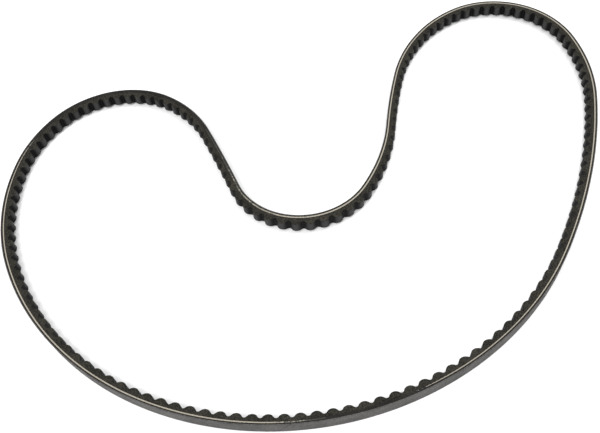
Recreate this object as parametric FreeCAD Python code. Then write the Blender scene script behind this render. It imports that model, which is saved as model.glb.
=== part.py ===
import FreeCAD, Part
import math
import os

# Raw-edge, moulded-cog V-belt, 13 mm (A) section, lying on its side in a loose heart-shaped loop.
# Z is up and the belt's mid-plane is level, so its back stands upright and its flanks slope.
# The origin is on the surface that it lies on, below the middle of its outline.
#
# Every place on the belt is given by its distance along the cord line, its depth below the back,
# and its height. The cord line doesn't stretch, so the cogs and the length are measured on it.

Vector = FreeCAD.Vector
UP = Vector(0, 0, 1)

# ---- Section of the belt (mm, degrees) ----
top_width = 13.0            # across the back
belt_height = 8.0           # from the back to the crests of the cogs
groove_angle = 40.0         # between the two flanks
back_ply = 0.5              # each of the two fabric plies on the back
cord_cover = 0.45           # rubber between the plies and the cords
cord_diameter = 1.0
cord_gap = 0.3              # mean gap between one cord and the next, across the belt
cord_bed = 0.4              # rubber under the cords
facing_thickness = 0.4      # fabric moulded over the cogs

# ---- Length and cogs ----
outside_length = 1625.0     # round the back
cog_count = 156
cog_depth = 2.9
crest_radius = 4.2
first_cog = -3.0            # middle of the first cog, along the cord line

# ---- Cords: each winds across the belt and runs out through its top flank at this distance ----
cord_ends = {"tensile_cord_s": 355.0, "tensile_cord_z": 1250.0}
thinnest_cut = 0.05         # a cord ends where its flank cut has left only this much of it
least_graze = 0.01          # and its cut starts where the flank would take this much
longest_arc = 45.0          # degrees turned by one arc of a cord
wedge_spare = 1.0           # degrees that a flank cut runs past a bend's ends

# ---- How the loop lies: (radius of the cord line, degrees turned), tangent to each other, from
# the upper right round to the left. A negative radius bends the belt backwards. The belt's length
# sets the scale of the radii. The two given as None take the radius that closes the loop. ----
first_heading = 121.5
bends = [
    (66.0, 79.0),           # over the right-hand lobe
    (107.0, 23.0),
    (142.0, 26.0),
    (580.0, 6.0),
    (-162.0, 24.0),         # through the dip between the lobes
    (-57.5, 124.0),
    (1290.0, 3.0),
    (108.0, 31.0),
    (75.0, 86.0),           # over the left-hand lobe
    (106.0, 29.0),
    (172.0, 33.0),
    (227.0, 44.0),
    (None, 80.0),           # along the bottom
    (None, 18.0),
    (170.0, 26.0),          # up the right-hand side
    (79.0, 24.0),
]

# ---- Depths below the back ----
slope = math.tan(math.radians(groove_angle / 2))
plies_depth = 2 * back_ply
cord_depth = plies_depth + cord_cover + cord_diameter / 2
bed_depth = cord_depth + cord_diameter / 2 + cord_bed
cord_line_length = outside_length - 2 * math.pi * cord_depth
cog_pitch = cord_line_length / cog_count


def low_side(depth):
    """Height of the lower flank."""
    return depth * slope


def high_side(depth):
    """Height of the upper flank."""
    return top_width - depth * slope


# ---- Lie of the cord line ----
def in_plane(degrees):
    """Unit vector in the plane of the belt."""
    return Vector(math.cos(math.radians(degrees)), math.sin(math.radians(degrees)), 0)


def unit_chord(heading, turn):
    """From the start to the end of a left-hand bend of radius 1."""
    return in_plane(heading + 90) - in_plane(heading + turn + 90)


def close_loop():
    """The radius of every bend, so that the loop closes and has the belt's length."""
    heading = first_heading
    gap = Vector(0, 0, 0)
    free = []
    for radius, turn in bends:
        if radius is None:
            free.append(unit_chord(heading, turn))
            heading += turn
        else:
            turned = math.copysign(turn, radius)
            gap += unit_chord(heading, turned) * radius
            heading += turned
    a, b = free
    determinant = a.x * b.y - a.y * b.x
    closing = [(b.x * gap.y - b.y * gap.x) / determinant, (a.y * gap.x - a.x * gap.y) / determinant]
    radii = [closing.pop(0) if radius is None else radius for radius, turn in bends]
    turns = [math.copysign(turn, radius) for radius, (given, turn) in zip(radii, bends)]
    length = sum(radius * math.radians(turn) for radius, turn in zip(radii, turns))
    return [(radius * cord_line_length / length, turn) for radius, turn in zip(radii, turns)]


class Bend:
    """One arc of the cord line. A positive radius curls the belt round its cogs."""

    def __init__(self, start, heading, radius, turn, distance):
        self.heading = heading
        self.radius = radius
        self.turn = turn
        self.distance = distance
        self.length = radius * math.radians(turn)
        self.centre = start + in_plane(heading + 90) * radius

    def direction(self, along):
        return in_plane(self.heading + self.turn * along / self.length)

    def point(self, along, depth, z=0.0):
        inward = UP.cross(self.direction(along))
        return self.centre - inward * (self.radius + cord_depth - depth) + UP * z


def lay_out():
    """The bends in order, centred on the origin by the outline of the back."""
    chain = []
    start = Vector(0, 0, 0)
    heading = first_heading
    distance = 0.0
    xs = []
    ys = []
    for radius, turn in close_loop():
        bend = Bend(start, heading, radius, turn, distance)
        low, high = sorted((heading, heading + turn))
        for quarter in range(math.ceil(low / 90), math.floor(high / 90) + 1):
            extreme = bend.point((quarter * 90 - heading) / turn * bend.length, 0)
            xs.append(extreme.x)
            ys.append(extreme.y)
        chain.append(bend)
        start = bend.point(bend.length, cord_depth)
        heading += turn
        distance += bend.length
    middle = Vector(min(xs) + max(xs), min(ys) + max(ys), 0) * 0.5
    for bend in chain:
        bend.centre -= middle
    return chain


loop = lay_out()


def bend_at(distance):
    """The bend that a distance along the cord line falls in."""
    return max((bend for bend in loop if bend.distance <= distance), key=lambda bend: bend.distance)


def on_belt(distance, depth):
    """A point in the floor plane, under the belt."""
    distance %= cord_line_length
    bend = bend_at(distance)
    return bend.point(distance - bend.distance, depth)


# ---- Layers ----
def layer_corners(bend, along, upper, lower):
    """Corners of a layer's section between two depths below the back."""
    return [
        bend.point(along, upper, low_side(upper)),
        bend.point(along, lower, low_side(lower)),
        bend.point(along, lower, high_side(lower)),
        bend.point(along, upper, high_side(upper)),
    ]


def sewn(faces):
    """The solid that faces enclose."""
    shell = Part.Shell(faces)
    shell.sewShape()
    solid = Part.Solid(shell)
    if solid.Volume < 0:
        solid.reverse()
    return solid


def layer(upper, lower):
    """A closed layer of the belt between two depths, with flanks that slope."""
    faces = []
    for bend in loop:
        corners = layer_corners(bend, 0, upper, lower)
        for a, b in zip(corners, corners[1:] + corners[:1]):
            faces.append(Part.makeLine(a, b).revolve(bend.centre, UP, bend.turn))
    return sewn(faces)


# ---- Cogs ----
def valley_arc(floor, opening, crest_centre, inset):
    """From the floor of a valley to the next crest's circle, tangent to both.

    The arc starts square to the opening direction. Set back by the inset, it keeps its centre.
    """
    across = crest_centre - floor
    rise = across.dot(opening)
    radius = (across.Length ** 2 - crest_radius ** 2) / (2 * (rise + crest_radius))
    centre = floor + opening * radius
    towards = (crest_centre - centre).normalize()
    middle = (towards - opening).normalize()
    radius += inset
    return centre - opening * radius, centre + middle * radius, centre + towards * radius


def cog_outline(inset):
    """The closed wave of the cogs in the floor plane, set back into the rubber by the inset."""
    edges = []
    crest_depth = belt_height - crest_radius
    for number in range(cog_count):
        crest = first_cog + number * cog_pitch
        centre = on_belt(crest, crest_depth)
        flanks = []
        for side in (-0.5, 0.5):
            valley = crest + side * cog_pitch
            floor = on_belt(valley, belt_height - cog_depth)
            opening = (on_belt(valley, belt_height) - floor).normalize()
            bottom, middle, foot = valley_arc(floor, opening, centre, inset)
            edges.append(Part.Arc(bottom, middle, foot).toShape())
            flanks.append(foot)
        outward = (on_belt(crest, belt_height) - centre).normalize()
        summit = centre + outward * (crest_radius - inset)
        edges.append(Part.Arc(flanks[0], summit, flanks[1]).toShape())
    return Part.Wire(Part.__sortEdges__(edges))


def depth_outline(depth):
    """The closed line at one depth below the back, in the floor plane."""
    edges = []
    for bend in loop:
        places = [bend.point(bend.length * share, depth) for share in (0, 0.5, 1)]
        edges.append(Part.Arc(*places).toShape())
    return Part.Wire(Part.__sortEdges__(edges))


def between(outer, inner):
    """An upright wall between two closed outlines, as tall as the belt is wide."""
    return Part.Face(outer).cut(Part.Face(inner)).Faces[0].extrude(UP * top_width)


def cogged(outer, inner):
    """The part of that wall that is inside the belt's flanks."""
    return layer(bed_depth, belt_height + facing_thickness).common(between(outer, inner)).Solids[0]


# ---- Cords ----
# A cord's line is a chain of arcs, one or more to a bend, each tilted a little so that it climbs.
flank_tilt = math.cos(math.radians(groove_angle / 2))
clear_of_flank = cord_diameter / 2 / flank_tilt - least_graze
run_out = (cord_diameter / 2 - thinnest_cut) / flank_tilt
cord_spacing = cord_diameter + cord_gap
cord_lead = 2 * cord_spacing        # two cords wind side by side


def arc_count(turn):
    """How many arcs a cord's line takes for a turn."""
    return math.ceil(abs(turn) / longest_arc)


def reach(bend):
    """What a cord's height gains round a bend, if its arcs start and end at a slope of 1."""
    count = arc_count(bend.turn)
    return 2 * abs(bend.radius) * count * math.tan(math.radians(abs(bend.turn) / count / 2))


cord_climb = cord_lead / sum(reach(bend) for bend in loop)


def cord_arcs(end_distance):
    """The cord's arcs from its start to its end: (bend, from, to, height at from, height at to).

    They are laid backwards from the end, and split where the cord meets and leaves the flanks.
    """
    lowest = low_side(cord_depth)
    highest = high_side(cord_depth)
    marks = [highest - clear_of_flank, lowest + clear_of_flank, lowest - run_out]
    bend = bend_at(end_distance)
    per_degree = bend.length / abs(bend.turn)
    left = (end_distance - bend.distance) / per_degree
    z = highest + run_out
    arcs = []
    while marks:
        pitch = 2 * abs(bend.radius) * cord_climb
        to_mark = 2 * math.degrees(math.atan((z - marks[0]) / pitch))
        turned = min(left / arc_count(left), to_mark)
        drop = pitch * math.tan(math.radians(turned / 2))
        arcs.append((bend, (left - turned) * per_degree, left * per_degree, z - drop, z))
        z -= drop
        if turned == to_mark:
            marks.pop(0)
            left -= turned
        elif turned < left:
            left -= turned
        else:
            bend = loop[loop.index(bend) - 1]
            per_degree = bend.length / abs(bend.turn)
            left = abs(bend.turn)
    return arcs[::-1]


def cord_line(bend, begin, end, low, high):
    """One arc of a cord's line."""
    start = bend.point(begin, cord_depth, low)
    stop = bend.point(end, cord_depth, high)
    chord = stop - start
    lean = chord.getAngle(bend.direction(begin) + UP * cord_climb)
    outward = bend.direction((begin + end) / 2).cross(UP) * math.copysign(1, bend.radius)
    summit = (start + stop) * 0.5 + outward * (chord.Length / 2 * math.tan(lean / 2))
    return Part.Arc(start, summit, stop).toShape()


def cord_rim(bend, begin, low):
    """A cord's round section where an arc begins, in four quarters."""
    centre = bend.point(begin, cord_depth, low)
    heading = (bend.direction(begin) + UP * cord_climb).normalize()
    first = UP.cross(heading).normalize() * (cord_diameter / 2)
    second = heading.cross(first)
    places = []
    for eighth in range(1, 10):
        angle = math.radians(45 * eighth)
        places.append(centre + first * math.cos(angle) + second * math.sin(angle))
    return [Part.Arc(*places[at:at + 3]).toShape() for at in (0, 2, 4, 6)]


def sweep_cord(arcs):
    """One round cord along arcs that follow on from each other."""
    bend, begin, end, low, high = arcs[0]
    rim = cord_rim(bend, begin, low)
    faces = [Part.Face(Part.Wire(rim))]
    for arc in arcs:
        line = cord_line(*arc)
        turn = math.degrees(line.LastParameter - line.FirstParameter)
        faces += [quarter.revolve(line.Curve.Center, line.Curve.Axis, turn) for quarter in rim]
        rim = [quarter.rotated(line.Curve.Center, line.Curve.Axis, turn) for quarter in rim]
    faces.append(Part.Face(Part.Wire(rim)))
    return sewn(faces)


def cut_flush(cord, bend):
    """The part of a cord's arc that is between the flanks."""
    corners = layer_corners(bend, 0, cord_depth - cord_diameter, cord_depth + cord_diameter)
    section = Part.Face(Part.makePolygon(corners + corners[:1]))
    spare = math.copysign(wedge_spare, bend.turn)
    wedge = section.rotated(bend.centre, UP, -spare).revolve(bend.centre, UP, bend.turn + 2 * spare)
    return cord.common(wedge).Solids[0]


def wind_cord(end_distance):
    """A cord wound across the belt and cut flush by both flanks."""
    middle = top_width / 2
    buried = []
    ends = []
    for arc in cord_arcs(end_distance):
        bend, begin, end, low, high = arc
        if abs((low + high) / 2 - middle) < high_side(cord_depth) - clear_of_flank - middle:
            buried.append(arc)
        else:
            ends.append(cut_flush(sweep_cord([arc]), bend))
    return sweep_cord(buried).multiFuse(ends)


# ---- The pieces ----
def build():
    pieces = {
        "back_fabric_outer_ply": layer(0, back_ply),
        "back_fabric_inner_ply": layer(back_ply, plies_depth),
    }
    cushion = layer(plies_depth, bed_depth)
    for name, end_distance in cord_ends.items():
        pieces[name] = wind_cord(end_distance)
        cushion = cushion.cut(pieces[name])
    pieces["cord_cushion_rubber"] = cushion
    facing_back = cog_outline(facing_thickness)
    pieces["cogged_base_rubber"] = cogged(depth_outline(bed_depth), facing_back)
    pieces["cog_facing_fabric"] = cogged(facing_back, cog_outline(0))
    return pieces


os.makedirs("parts", exist_ok=True)
for name, shape in build().items():
    shape.exportStep("parts/" + name + ".step")
    print(name, "valid", shape.isValid(), "solids", len(shape.Solids), "volume", round(shape.Volume, 1))
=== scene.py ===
import math

import bpy
import numpy as np
from mathutils import Matrix, Vector


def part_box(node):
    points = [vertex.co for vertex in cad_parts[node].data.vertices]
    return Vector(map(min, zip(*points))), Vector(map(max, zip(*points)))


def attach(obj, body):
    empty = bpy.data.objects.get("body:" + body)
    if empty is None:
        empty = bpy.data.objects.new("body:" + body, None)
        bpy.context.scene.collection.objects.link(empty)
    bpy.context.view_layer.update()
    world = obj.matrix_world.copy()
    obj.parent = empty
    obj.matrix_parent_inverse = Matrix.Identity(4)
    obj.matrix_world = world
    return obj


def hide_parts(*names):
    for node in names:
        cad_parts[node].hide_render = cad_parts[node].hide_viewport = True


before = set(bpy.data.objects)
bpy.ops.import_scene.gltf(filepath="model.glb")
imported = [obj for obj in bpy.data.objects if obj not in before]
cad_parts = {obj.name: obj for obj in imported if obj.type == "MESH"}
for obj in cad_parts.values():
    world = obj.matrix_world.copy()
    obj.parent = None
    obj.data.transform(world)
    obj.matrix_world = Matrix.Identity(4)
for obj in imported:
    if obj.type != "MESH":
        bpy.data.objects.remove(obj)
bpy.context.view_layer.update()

# A raw-edge cogged V-belt lying on its side. Lengths are in millimetres until a mesh is made.
# A place on the belt is a distance along its cord line, a depth below its back, and a height.
METRE = 0.001

# ---- The belt's section and length, as in the CAD model ----
TOP_WIDTH = 13.0
BELT_HEIGHT = 8.0
FLANK_ANGLE = math.radians(20.0)        # of each flank, half the groove's angle
BACK_PLY = 0.5
CORD_COVER = 0.45
CORD_DIAMETER = 1.0
CORD_BED = 0.4
FACING = 0.4
OUTSIDE_LENGTH = 1625.0
COG_COUNT = 156
COG_DEPTH = 2.9
FIRST_COG = -3.0
CREST_RADIUS = 4.2
CORD_LEAD = 2.6

SLOPE = math.tan(FLANK_ANGLE)
PLIES_DEPTH = 2 * BACK_PLY
CORD_DEPTH = PLIES_DEPTH + CORD_COVER + CORD_DIAMETER / 2
BED_DEPTH = CORD_DEPTH + CORD_DIAMETER / 2 + CORD_BED
LENGTH = OUTSIDE_LENGTH - 2 * math.pi * CORD_DEPTH      # of the cord line
COG_PITCH = LENGTH / COG_COUNT

# ---- How the meshes are made ----
LAYER_STEP = 1.0            # along the belt
LAYER_COLUMNS = 8           # across a layer's upper side, between the rounded corners
ROUNDING_STEPS = 3          # round a section's corner
BACK_ROUNDING = 0.18        # worn corners of the back
CUT_ROUNDING = 0.03         # corners where the flank's cut meets the next layer
FACING_EDGE = 0.08          # eased edge of the facing
SHARP_FROM = math.radians(38)

# ---- How the loop lies: (radius, degrees turned) of its bends. None closes the loop. ----
FIRST_HEADING = 121.5
BENDS = [
    (66.0, 79.0), (107.0, 23.0), (142.0, 26.0), (580.0, 6.0),           # right-hand lobe
    (-162.0, 24.0), (-57.5, 124.0),                                     # dip
    (1290.0, 3.0), (108.0, 31.0), (75.0, 86.0), (106.0, 29.0),          # left-hand lobe
    (172.0, 33.0), (227.0, 44.0), (None, 80.0), (None, 18.0),           # bottom
    (170.0, 26.0), (79.0, 24.0),                                        # right-hand side
]


def turned(degrees):
    """Unit complex number at an angle."""
    return np.exp(1j * np.radians(degrees))


def lay_out():
    """Start distance, heading, radius and centre of every bend, in the plane as x + iy."""
    turns = [math.copysign(turn, radius or 1) for radius, turn in BENDS]
    headings = FIRST_HEADING + np.concatenate([[0], np.cumsum(turns)[:-1]])
    chords = turned(headings + 90) - turned(headings + 90 + turns)
    gap = sum(chord * radius for chord, (radius, _) in zip(chords, BENDS) if radius)
    free = [chord for chord, (radius, _) in zip(chords, BENDS) if not radius]
    closing = list(np.linalg.solve(
        [[chord.real for chord in free], [chord.imag for chord in free]], [-gap.real, -gap.imag]))
    radii = np.array([radius or closing.pop(0) for radius, _ in BENDS])
    radii *= LENGTH / np.sum(radii * np.radians(turns))
    starts = np.concatenate([[0], np.cumsum(radii * np.radians(turns))[:-1]])
    corners = np.concatenate([[0], np.cumsum(chords * radii)[:-1]])
    return starts, headings, radii, corners + turned(headings + 90) * radii


STARTS, HEADINGS, RADII, CENTRES = lay_out()


def on_belt(distance, depth):
    """Places in the plane, x + iy, at distances along the cord line and depths below the back."""
    distance = np.mod(distance, LENGTH)
    bend = np.searchsorted(STARTS, distance, side="right") - 1
    angle = HEADINGS[bend] + np.degrees((distance - STARTS[bend]) / RADII[bend])
    return CENTRES[bend] - turned(angle + 90) * (RADII[bend] + CORD_DEPTH - depth)


# the back's outline is centred on the CAD ply's box
outline = on_belt(np.arange(0, LENGTH, 0.1), 0)
low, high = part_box("back_fabric_outer_ply")
CENTRES = CENTRES + complex(low[0] + high[0], low[1] + high[1]) / 2 / METRE - complex(
    outline.real.min() + outline.real.max(), outline.imag.min() + outline.imag.max()) / 2


def low_side(depth):
    """Height of the lower flank."""
    return depth * SLOPE


def high_side(depth):
    """Height of the upper flank."""
    return TOP_WIDTH - depth * SLOPE


def ring_mesh(name, distance, depth, height, around, closed=True):
    """A skin over a grid of places [along the belt, round the section], with a map in millimetres.

    distance, depth and height are grids; around is the map's coordinate round the section.
    A skin that isn't closed along the belt gets two end caps.
    """
    places = on_belt(distance, depth)
    rows, columns = places.shape
    points = np.stack([places.real, places.imag, height], axis=-1).reshape(-1, 3) * METRE
    row = np.arange(rows if closed else rows - 1)[:, None]
    column = np.arange(columns)[None, :]
    next_row = (row + 1) % rows
    next_column = (column + 1) % columns
    corners = [row * columns + column, row * columns + next_column,
               next_row * columns + next_column, next_row * columns + column]
    # the section's handedness decides which way round the faces go
    x, y = depth[0], height[0]
    facing_out = np.sum(x * np.roll(y, -1) - y * np.roll(x, -1)) > 0
    order = [0, 1, 2, 3] if facing_out else [0, 3, 2, 1]
    faces = np.stack(corners, axis=-1)[..., order].reshape(-1, 4).tolist()
    if not closed:
        first = list(range(columns))
        last = [(rows - 1) * columns + corner for corner in first]
        faces += [first[::-1], last] if facing_out else [first, last[::-1]]
    mesh = bpy.data.meshes.new(name)
    mesh.from_pydata(points, [], faces)
    along = np.concatenate([distance[:, 0], [distance[0, 0] + LENGTH]])
    around = np.concatenate([around, [around[-1] + abs(around[-1] - around[-2])]])
    u = np.stack([along[row], along[row], along[row + 1], along[row + 1]], axis=-1)
    v = np.stack([around[column], around[column + 1], around[column + 1], around[column]], axis=-1)
    shape = (len(row), columns, 4)
    grid = np.stack([np.broadcast_to(u, shape), np.broadcast_to(v, shape)], axis=-1)
    grid = grid[..., order, :].reshape(-1, 2)
    uv = np.zeros((len(mesh.loops), 2))
    uv[:len(grid)] = grid
    mesh.uv_layers.new(name="belt").uv.foreach_set("vector", uv.ravel())
    mesh.shade_smooth()
    mesh.set_sharp_from_angle(angle=SHARP_FROM)
    mesh.update()
    piece = bpy.data.objects.new(name, mesh)
    bpy.context.scene.collection.objects.link(piece)
    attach(piece, "root")
    return piece


def shade(piece, name, values):
    """Store a value for every point, for the material."""
    piece.data.attributes.new(name, "FLOAT", "POINT").data.foreach_set("value", values.ravel())


def rounded(corners, radii):
    """A section's corners (depth, height) rounded by radii, as one closed outline."""
    outline = []
    count = len(corners)
    for index, radius in enumerate(radii):
        before, here, after = (np.array(corners[(index + k) % count], float) for k in (-1, 0, 1))
        to_before = (before - here) / np.linalg.norm(before - here)
        to_after = (after - here) / np.linalg.norm(after - here)
        half = math.acos(np.clip(to_before @ to_after, -1, 1)) / 2
        reach = radius / math.tan(half)
        bisector = (to_before + to_after) / np.linalg.norm(to_before + to_after)
        centre = here + bisector * radius / math.sin(half)
        first = here + to_before * reach - centre
        last = here + to_after * reach - centre
        for step in range(ROUNDING_STEPS + 1):
            mix = first * (ROUNDING_STEPS - step) + last * step
            outline.append(centre + mix / np.linalg.norm(mix) * radius)
    return np.array(outline)


def lengths_round(outline):
    """Distance round an outline, for its map."""
    return np.concatenate([[0], np.cumsum(np.linalg.norm(np.diff(outline, axis=0), axis=1))])


# ---- Layers of even depth ----
def layer(name, upper, lower, edge_radius):
    """A closed band between two depths. The corners at the upper one are rounded by edge_radius."""
    corners = [(upper, low_side(upper)), (upper, high_side(upper)),
               (lower, high_side(lower)), (lower, low_side(lower))]
    outline = rounded(corners, [edge_radius, edge_radius, CUT_ROUNDING, CUT_ROUNDING])
    last = ROUNDING_STEPS       # of the first corner's points
    across = np.linspace(0, 1, LAYER_COLUMNS + 2)[1:-1, None]
    back = outline[last] + across * (outline[last + 1] - outline[last])
    outline = np.concatenate([outline[:last + 1], back, outline[last + 1:]])
    distance = np.arange(0, LENGTH, LENGTH / round(LENGTH / LAYER_STEP))
    grid = np.broadcast_to(distance[:, None], (len(distance), len(outline)))
    depth = np.broadcast_to(outline[:, 0], grid.shape)
    height = np.broadcast_to(outline[:, 1], grid.shape)
    return ring_mesh(name, grid, depth, height, lengths_round(outline))


# ---- Cogs ----
def wave_depth(distance, inset):
    """Depth of the cogs' outline below the back, set back into the rubber by inset."""
    off_crest = np.abs(((distance - FIRST_COG) / COG_PITCH + 0.5) % 1 - 0.5) * COG_PITCH
    half = COG_PITCH / 2
    total = (half ** 2 + COG_DEPTH ** 2) / (2 * COG_DEPTH)
    valley_radius = total - CREST_RADIUS
    turn_over = half * (CREST_RADIUS - inset) / total
    crest = BELT_HEIGHT - CREST_RADIUS + np.sqrt(
        np.maximum((CREST_RADIUS - inset) ** 2 - off_crest ** 2, 0))
    valley = BELT_HEIGHT - COG_DEPTH + valley_radius - np.sqrt(
        np.maximum((valley_radius + inset) ** 2 - (half - off_crest) ** 2, 0))
    return np.where(off_crest < turn_over, crest, valley)


def cog_stations(per_cog):
    """Distances along the belt, per_cog of them to a cog."""
    return FIRST_COG + np.arange(COG_COUNT * per_cog) / per_cog * COG_PITCH


def base_rubber(per_cog=26):
    """The rubber under the cords, down to the inside of the cogs' facing."""
    distance = cog_stations(per_cog)[:, None]
    lowest = wave_depth(distance, FACING)
    shares = np.array([0, 0.25, 0.5, 0.75, 1.0])
    depth_down = BED_DEPTH + (lowest - BED_DEPTH) * shares
    across = np.linspace(0, 1, 4)[1:-1]
    depth = np.concatenate(
        [depth_down, np.repeat(lowest, len(across), axis=1), depth_down[:, ::-1]], axis=1)
    top, bottom = high_side(depth_down), low_side(depth_down[:, ::-1])
    middle = high_side(lowest) + (low_side(lowest) - high_side(lowest)) * across
    height = np.concatenate([top, middle, bottom], axis=1)
    grid = np.broadcast_to(distance, depth.shape)
    deep, wide = 4, 9           # about, in millimetres, for the map
    around = np.concatenate([shares * deep, deep + across * wide, deep + wide + shares * deep])
    return ring_mesh("base_rubber", grid, depth, height, around)


def cog_facing(per_cog=30):
    """The fabric moulded over the cogs, with its cut edges on the flanks."""
    distance = cog_stations(per_cog)[:, None]
    outer = wave_depth(distance, 0.0)
    inner = wave_depth(distance, FACING)
    eased = outer - FACING_EDGE
    across = np.linspace(0, 1, 8)
    depth = np.concatenate([inner, eased, np.repeat(outer, len(across), axis=1), eased, inner], axis=1)
    top = high_side(outer) - FACING_EDGE
    bottom = low_side(outer) + FACING_EDGE
    height = np.concatenate([high_side(inner), high_side(eased), top + (bottom - top) * across,
                             low_side(eased), low_side(inner)], axis=1)
    grid = np.broadcast_to(distance, depth.shape)
    ease, wide, far = 0.1, 8, 9     # about, in millimetres, for the map
    around = np.concatenate([[0, FACING], FACING + ease + across * wide, [far, far + FACING]])
    piece = ring_mesh("cog_facing", grid, depth, height, around)
    # how far up towards the crest each point lies: the material paints shade into the valleys and a
    # highlight onto the crests with it
    share = (outer - (BELT_HEIGHT - COG_DEPTH)) / COG_DEPTH
    shade(piece, "crest", np.repeat(share, depth.shape[1], axis=1))
    return piece


# ---- Tensile cords ----
# A cord climbs by its lead in a turn, unevenly. Where it passes through the upper flank, it shows.
SHOWN = CORD_DIAMETER / math.cos(FLANK_ANGLE)       # height that it climbs while it shows
QUICK = 0.14                                        # height of the quick climb as it comes out and goes
# (distance along the belt, height climbed): cord Z comes out and goes, then cord S, in the next turn
CLIMB = [
    (700.0, 0.0), (730.0, QUICK), (1095.0, SHOWN - QUICK), (1130.0, SHOWN),
    (1166.0, CORD_LEAD / 2), (1192.0, CORD_LEAD / 2 + QUICK / 2), (1230.0, CORD_LEAD / 2 + 2 * QUICK),
    (LENGTH + 400.0, CORD_LEAD / 2 + SHOWN - QUICK), (LENGTH + 521.0, CORD_LEAD / 2 + SHOWN),
    (LENGTH + 700.0, CORD_LEAD),
]
CORD_ENDS = {"cord_s": LENGTH + 521.0, "cord_z": 1130.0}
PROUD = 0.06                # how far a cut cord stands out of the flank
STRAND_COUNT = 3
STRAND_LAY = 9.0
STRAND_SWELL = 0.08
CORD_STEP = 0.6             # along the belt, where a cord shows
BURIED_STEPS = 4            # as many of them to a step where it's buried
NEAR_FLANK = 0.6            # share of SHOWN within which a cord is near a flank
BARE_EASE = 0.4             # share of SHOWN over which a cord goes from covered to bare
MOST_TURNS = 6              # more than a cord takes from one flank to the other
POINTS_ROUND = 12


def climb(distance):
    """Height gained by a cord since the first mark, at any distance."""
    marks, gains = np.array(CLIMB).T
    laps = np.floor((distance - marks[0]) / LENGTH)
    return laps * CORD_LEAD + np.interp(distance - laps * LENGTH, marks, gains)


def cord(name, twist):
    """One cord of strands, wound from the lower flank to the upper one and cut off by both."""
    end = CORD_ENDS[name]
    highest, lowest = high_side(CORD_DEPTH), low_side(CORD_DEPTH)
    stations = np.arange(end - MOST_TURNS * LENGTH, end, CORD_STEP)
    centre = highest + SHOWN / 2 + climb(stations) - climb(np.array(end))
    keep = centre > lowest - SHOWN / 2
    stations, centre = stations[keep], centre[keep]
    near = (centre > highest - SHOWN * NEAR_FLANK) | (centre < lowest + SHOWN * NEAR_FLANK)
    thin = near | (np.arange(len(stations)) % BURIED_STEPS == 0)
    stations, centre = stations[thin, None], centre[thin, None]
    angle = np.linspace(0, 2 * math.pi, POINTS_ROUND, endpoint=False)[None, :]
    strand = np.cos(STRAND_COUNT * (angle - twist * 2 * math.pi * stations / STRAND_LAY))
    radius = CORD_DIAMETER / 2 * (1 - STRAND_SWELL + STRAND_SWELL * strand)
    depth = CORD_DEPTH + radius * np.cos(angle)
    height = centre + radius * np.sin(angle)
    height = np.clip(height, low_side(depth) - PROUD, high_side(depth) + PROUD)
    grid = np.broadcast_to(stations, depth.shape)
    piece = ring_mesh(name, grid, depth, height, np.linspace(0, math.pi, POINTS_ROUND), closed=False)
    # how much of the cord is left bare by the cut: least where it has only just come out
    off = np.minimum(np.abs(centre - highest), np.abs(centre - lowest)) / SHOWN
    bare = np.clip((0.5 - off) / BARE_EASE, 0, 1)
    shade(piece, "bare", np.repeat(bare, POINTS_ROUND, axis=1))
    return piece


# ---- Materials ----
# On the belt's map, in millimetres
BACK_MIDDLE = 6.9           # middle of the back
WORN_EDGE = 0.55            # width of its pale edges
LAP_AT = 1098.0             # where the canvas is lapped
LAP_SLANT = 0.7
LAP_LINE = 0.35             # half the width of the lap's line
THREAD_SPACING = 1.1
THREAD_ANGLE = math.radians(55)
RIB_SPACING = 0.7           # of the knit
BARE_FROM = 0.72            # of bareness and smear together, the least at which fibre shows
BLACK = (0.006, 0.0055, 0.005)


def material(name):
    """A new material, its node tree and its shader."""
    made = bpy.data.materials.new(name)
    made.use_nodes = True
    return made, made.node_tree, made.node_tree.nodes["Principled BSDF"]


def add(tree, kind, inputs=None, **settings):
    """A node of that kind. inputs maps sockets to values or to other nodes' output sockets."""
    node = tree.nodes.new("ShaderNode" + kind)
    for key, value in settings.items():
        setattr(node, key, value)
    for key, value in (inputs or {}).items():
        if isinstance(value, bpy.types.NodeSocket):
            tree.links.new(value, node.inputs[key])
        else:
            node.inputs[key].default_value = value
    return node


def maths(tree, operation, a, b=0.0):
    """The output of a Math node."""
    return add(tree, "Math", {0: a, 1: b}, operation=operation).outputs[0]


def mapped(tree, scale=(1, 1, 1), turn=0.0):
    """The belt's map, scaled and turned."""
    uv = add(tree, "UVMap", uv_map="belt").outputs["UV"]
    return add(tree, "Mapping", {"Vector": uv, "Scale": scale, "Rotation": (0, 0, turn)}).outputs[0]


def noise(tree, vector, scale, detail=3.0, roughness=0.6):
    """Noise from 0 to 1."""
    return add(tree, "TexNoise", {"Vector": vector, "Scale": scale, "Detail": detail,
                                  "Roughness": roughness}).outputs["Fac"]


def ramp(tree, factor, stops):
    """A colour ramp with stops (position, colour)."""
    node = add(tree, "ValToRGB", {"Fac": factor})
    while len(node.color_ramp.elements) < len(stops):
        node.color_ramp.elements.new(0.5)
    for element, (position, colour) in zip(node.color_ramp.elements, stops):
        element.position = position
        element.color = (*colour, 1)
    return node.outputs["Color"]


def grey_ramp(tree, factor, stops):
    """A ramp of greys with stops (position, value)."""
    return ramp(tree, factor, [(position, (value,) * 3) for position, value in stops])


def bump(tree, shader, height, distance):
    """Bumps as high as distance, in millimetres."""
    node = add(tree, "Bump", {"Height": height, "Distance": distance * METRE, "Strength": 1.0})
    tree.links.new(node.outputs[0], shader.inputs["Normal"])


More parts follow.
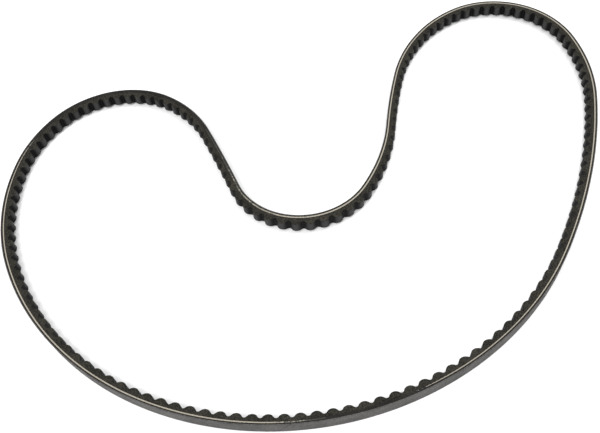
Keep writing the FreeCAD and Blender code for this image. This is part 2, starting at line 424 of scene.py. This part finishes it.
def flank_rubber(name, dark, light):
    """Ground rubber: speckled by the ends of short fibres, with faint lines from the grinding."""
    made, tree, shader = material(name)
    plain = mapped(tree)
    lines = mapped(tree, (0.06, 3.0, 1))
    patches = noise(tree, plain, 0.05, 4.0)
    specks = noise(tree, plain, 1.0, 2.0, 0.75)
    grind = noise(tree, lines, 2.0, 2.0)
    mixed = maths(tree, "ADD", maths(tree, "MULTIPLY", patches, 0.25),
                  maths(tree, "MULTIPLY", specks, 0.75))
    tree.links.new(ramp(tree, mixed, [(0.43, dark), (0.6, light)]), shader.inputs["Base Color"])
    tree.links.new(grey_ramp(tree, specks, [(0.3, 0.6), (0.7, 0.85)]), shader.inputs["Roughness"])
    shader.inputs["Specular IOR Level"].default_value = 0.12
    bump(tree, shader, maths(tree, "ADD", specks, maths(tree, "MULTIPLY", grind, 0.6)), 0.08)
    return made


def woven_back():
    """Bias-laid canvas rubbed full of rubber: crossed threads, dusty in patches, pale at its cut edge.

    The canvas is lapped at one place, along a slanting line.
    """
    made, tree, shader = material("back_canvas")
    waves = []
    for side in (-1, 1):
        across = mapped(tree, turn=side * THREAD_ANGLE)
        x = add(tree, "SeparateXYZ", {0: across}).outputs["X"]
        waves.append(maths(tree, "SINE", maths(tree, "MULTIPLY", x, 2 * math.pi / THREAD_SPACING)))
    weave = maths(tree, "MULTIPLY", waves[0], waves[1])
    plain = mapped(tree)
    patches = noise(tree, plain, 0.06, 5.0, 0.65)
    dust = noise(tree, plain, 0.8, 3.0, 0.75)
    place = add(tree, "SeparateXYZ", {0: plain})
    along, around = place.outputs["X"], place.outputs["Y"]
    lap = maths(tree, "SUBTRACT", along, maths(tree, "MULTIPLY", around, LAP_SLANT))
    lap = maths(tree, "COMPARE", lap, LAP_AT)
    lap.node.inputs[2].default_value = LAP_LINE
    edge = maths(tree, "COMPARE", around, BACK_MIDDLE)
    edge.node.inputs[2].default_value = BACK_MIDDLE - WORN_EDGE
    edge = maths(tree, "MULTIPLY", maths(tree, "SUBTRACT", 1.0, edge), 0.2)
    worn = maths(tree, "ADD", maths(tree, "MULTIPLY", patches, 0.4), maths(tree, "MULTIPLY", dust, 0.6))
    mixed = maths(tree, "ADD", maths(tree, "MULTIPLY", weave, 0.05), worn)
    mixed = maths(tree, "ADD", maths(tree, "SUBTRACT", mixed, maths(tree, "MULTIPLY", lap, 0.3)), edge)
    tree.links.new(ramp(tree, mixed, [(0.38, (0.016, 0.0155, 0.015)), (0.6, (0.082, 0.079, 0.075)),
                                      (0.85, (0.20, 0.19, 0.175))]),
                   shader.inputs["Base Color"])
    tree.links.new(grey_ramp(tree, dust, [(0.3, 0.7), (0.7, 0.92)]), shader.inputs["Roughness"])
    shader.inputs["Specular IOR Level"].default_value = 0.25
    shader.inputs["Sheen Weight"].default_value = 0.06
    bump(tree, shader, maths(tree, "ADD", weave, maths(tree, "MULTIPLY", dust, 0.8)), 0.07)
    return made


def cord_fibre():
    """Cut polyester fibre, cream, with dark rubber smeared where the cut is shallow."""
    made, tree, shader = material("cord_fibre")
    bare = add(tree, "Attribute", attribute_name="bare").outputs["Fac"]
    plain = mapped(tree)
    tufts = noise(tree, plain, 1.4, 3.0, 0.7)
    smear = noise(tree, mapped(tree, (0.35, 1, 1)), 1.0, 2.0, 0.7)
    cream = ramp(tree, tufts, [(0.3, (0.13, 0.115, 0.09)), (0.6, (0.37, 0.34, 0.28))])
    black = ramp(tree, tufts, [(0.3, (0.02, 0.02, 0.018)), (0.7, (0.05, 0.048, 0.042))])
    shows = maths(tree, "GREATER_THAN", maths(tree, "ADD", bare, smear), BARE_FROM)
    colour = add(tree, "Mix", data_type="RGBA")
    tree.links.new(shows, colour.inputs[0])
    tree.links.new(black, colour.inputs[6])
    tree.links.new(cream, colour.inputs[7])
    tree.links.new(colour.outputs[2], shader.inputs["Base Color"])
    tree.links.new(grey_ramp(tree, tufts, [(0.3, 0.7), (0.7, 0.95)]), shader.inputs["Roughness"])
    bump(tree, shader, tufts, 0.08)
    return made


def knit_facing():
    """Thin rubbered knit, drawn tight over the cogs. Its colour runs from near black in the valleys to
    lighter on the crests: painted shade down in the valleys, painted highlight on the crests.
    """
    made, tree, shader = material("knit_facing")
    # crest is 0 in the valleys and 1 on the crests; it drives the painted shade in the valleys and the
    # painted highlight on the crests
    crest = add(tree, "Attribute", attribute_name="crest").outputs["Fac"]
    plain = mapped(tree)
    specks = noise(tree, plain, 1.0, 3.0, 0.7)
    around = add(tree, "SeparateXYZ", {0: plain}).outputs["Y"]
    ribs = maths(tree, "SINE", maths(tree, "MULTIPLY", around, 2 * math.pi / RIB_SPACING))
    mixed = maths(tree, "MULTIPLY", crest, maths(tree, "ADD", maths(tree, "MULTIPLY", specks, 0.7), 0.6))
    # painted shade and highlight: near black down in the valleys, lighter up on the crests
    tree.links.new(ramp(tree, mixed, [(0.15, (0.002, 0.002, 0.002)), (0.6, (0.007, 0.007, 0.007)),
                                      (0.95, (0.034, 0.034, 0.034))]),
                   shader.inputs["Base Color"])
    tree.links.new(grey_ramp(tree, specks, [(0.3, 0.45), (0.7, 0.65)]), shader.inputs["Roughness"])
    shader.inputs["Specular IOR Level"].default_value = 0.08
    bump(tree, shader, maths(tree, "ADD", specks, maths(tree, "MULTIPLY", ribs, 0.3)), 0.06)
    return made


def floor_paper():
    """Pale, matt paper."""
    made, tree, shader = material("floor_paper")
    position = add(tree, "TexCoord").outputs["Object"]
    tree.links.new(grey_ramp(tree, noise(tree, position, 30.0), [(0.3, 0.9), (0.7, 0.92)]),
                   shader.inputs["Base Color"])
    shader.inputs["Roughness"].default_value = 0.9
    return made


# ---- The pieces ----
def dress(piece, made, slot, *nodes):
    """Give a piece its material, and put it in the place of its CAD nodes."""
    piece.data.materials.append(made)
    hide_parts(*nodes)


dress(layer("back_ply_outer", 0.0, BACK_PLY, BACK_ROUNDING), woven_back(),
      "back_fabric", "back_fabric_outer_ply")
dress(layer("back_ply_inner", BACK_PLY, PLIES_DEPTH, CUT_ROUNDING),
      flank_rubber("inner_ply_edge", BLACK, (0.024, 0.023, 0.021)),
      "inner_fabric", "back_fabric_inner_ply")
dress(layer("cushion_rubber", PLIES_DEPTH, BED_DEPTH, CUT_ROUNDING),
      flank_rubber("cushion_rubber", BLACK, (0.022, 0.021, 0.019)),
      "cushion_rubber", "cord_cushion_rubber")
dress(base_rubber(), flank_rubber("base_rubber", (0.003, 0.0028, 0.0022), (0.042, 0.039, 0.03)),
      "base_rubber", "cogged_base_rubber")
dress(cog_facing(), knit_facing(), "facing_fabric", "cog_facing_fabric")
fibre = cord_fibre()
dress(cord("cord_s", 1), fibre, "cord", "tensile_cord_s")
dress(cord("cord_z", -1), fibre, "cord", "tensile_cord_z")

# ---- Floor, light and camera ----
FLOOR_SIZE = 16.0           # metres
floor_mesh = bpy.data.meshes.new("floor")
half = FLOOR_SIZE / 2
floor_mesh.from_pydata([(-half, -half, 0), (half, -half, 0), (half, half, 0), (-half, half, 0)], [],
                       [(0, 1, 2, 3)])
floor = bpy.data.objects.new("floor", floor_mesh)
floor_mesh.materials.append(floor_paper())
bpy.context.scene.collection.objects.link(floor)

world = bpy.data.worlds.new("studio")
world.use_nodes = True
background = world.node_tree.nodes["Background"]
background.inputs["Color"].default_value = (1.0, 1.0, 1.0, 1)
background.inputs["Strength"].default_value = 0.9
bpy.context.scene.world = world


def lamp(name, place, size, power):
    """A square soft box at place, facing the origin."""
    data = bpy.data.lights.new(name, "AREA")
    data.size = size
    data.energy = power
    light = bpy.data.objects.new(name, data)
    aim = (-Vector(place)).to_track_quat("-Z", "Y").to_matrix().to_4x4()
    light.matrix_world = Matrix.Translation(place) @ aim
    bpy.context.scene.collection.objects.link(light)


lamp("key", (-0.5, -0.8, 1.3), 0.9, 18)
lamp("fill", (0.7, 0.5, 1.3), 0.9, 10)

CAMERA_PLACE = (-0.0155, -0.3225, 0.4162)
CAMERA_DOWN = math.radians(54.23)
CAMERA_ROLL = math.radians(8.0)
FOCAL_PER_WIDTH = 656.1 / 600.0
SENSOR_WIDTH = 36.0
camera_data = bpy.data.cameras.new("camera")
camera_data.sensor_width = SENSOR_WIDTH
camera_data.lens = SENSOR_WIDTH * FOCAL_PER_WIDTH
camera_data.clip_start = 0.01
camera = bpy.data.objects.new("camera", camera_data)
camera.matrix_world = (Matrix.Translation(CAMERA_PLACE) @ Matrix.Rotation(math.pi / 2 - CAMERA_DOWN, 4, "X")
                       @ Matrix.Rotation(-CAMERA_ROLL, 4, "Z"))
bpy.context.scene.collection.objects.link(camera)
bpy.context.scene.camera = camera
bpy.context.scene.view_settings.view_transform = "Standard"
